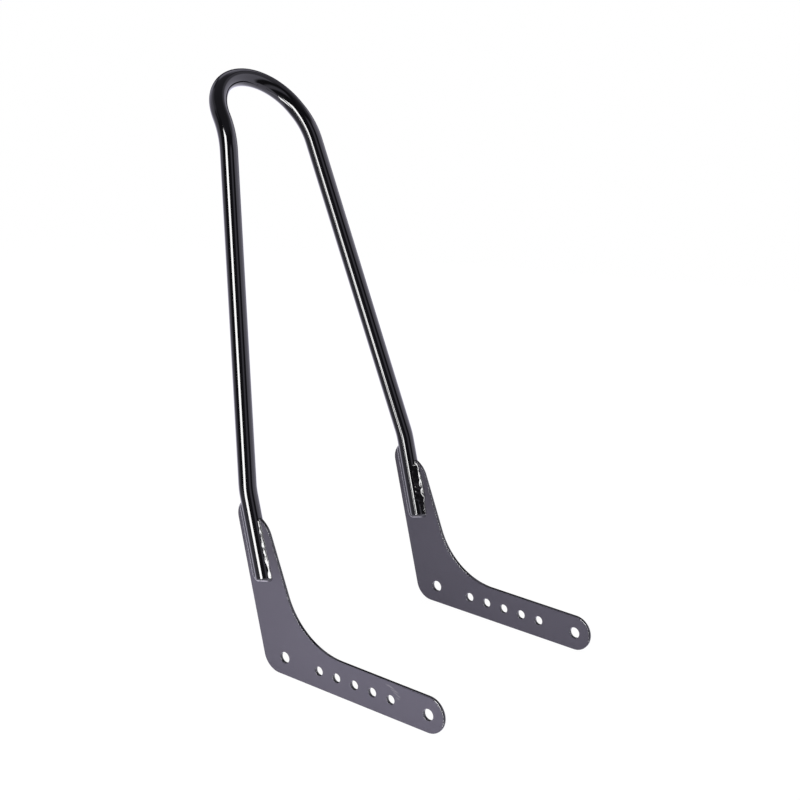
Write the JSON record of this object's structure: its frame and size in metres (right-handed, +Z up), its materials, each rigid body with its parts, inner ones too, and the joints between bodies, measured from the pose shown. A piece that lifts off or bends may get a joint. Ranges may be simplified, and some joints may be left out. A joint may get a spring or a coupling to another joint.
{
  "type": "sissy bar",
  "caption": "Motorbike sissy bar: a bent round-bar hoop with a kicked-back loop, its feet welded into slotted flat side plates with a row of bolt holes.",
  "frame": {"origin": "middle of the row of bolt holes, half way between the two plates", "axes": "+X across the plates to the bike's left, -Y forward along the plates' arms, +Z up"},
  "size_m": [0.233, 0.3485, 0.5065],
  "materials": {
    "bar_coat": "gloss black powder coat",
    "plate_coat": "gloss black powder coat",
    "weld_coat": "gloss black powder coat"
  },
  "bodies": {
    "root": {"hoop_bar": "bar_coat", "right_plate": "plate_coat", "left_plate": "plate_coat", "right_outer_weld": "weld_coat", "right_inner_weld": "weld_coat", "left_inner_weld": "weld_coat", "left_outer_weld": "weld_coat"}
  },
  "joints": []
}
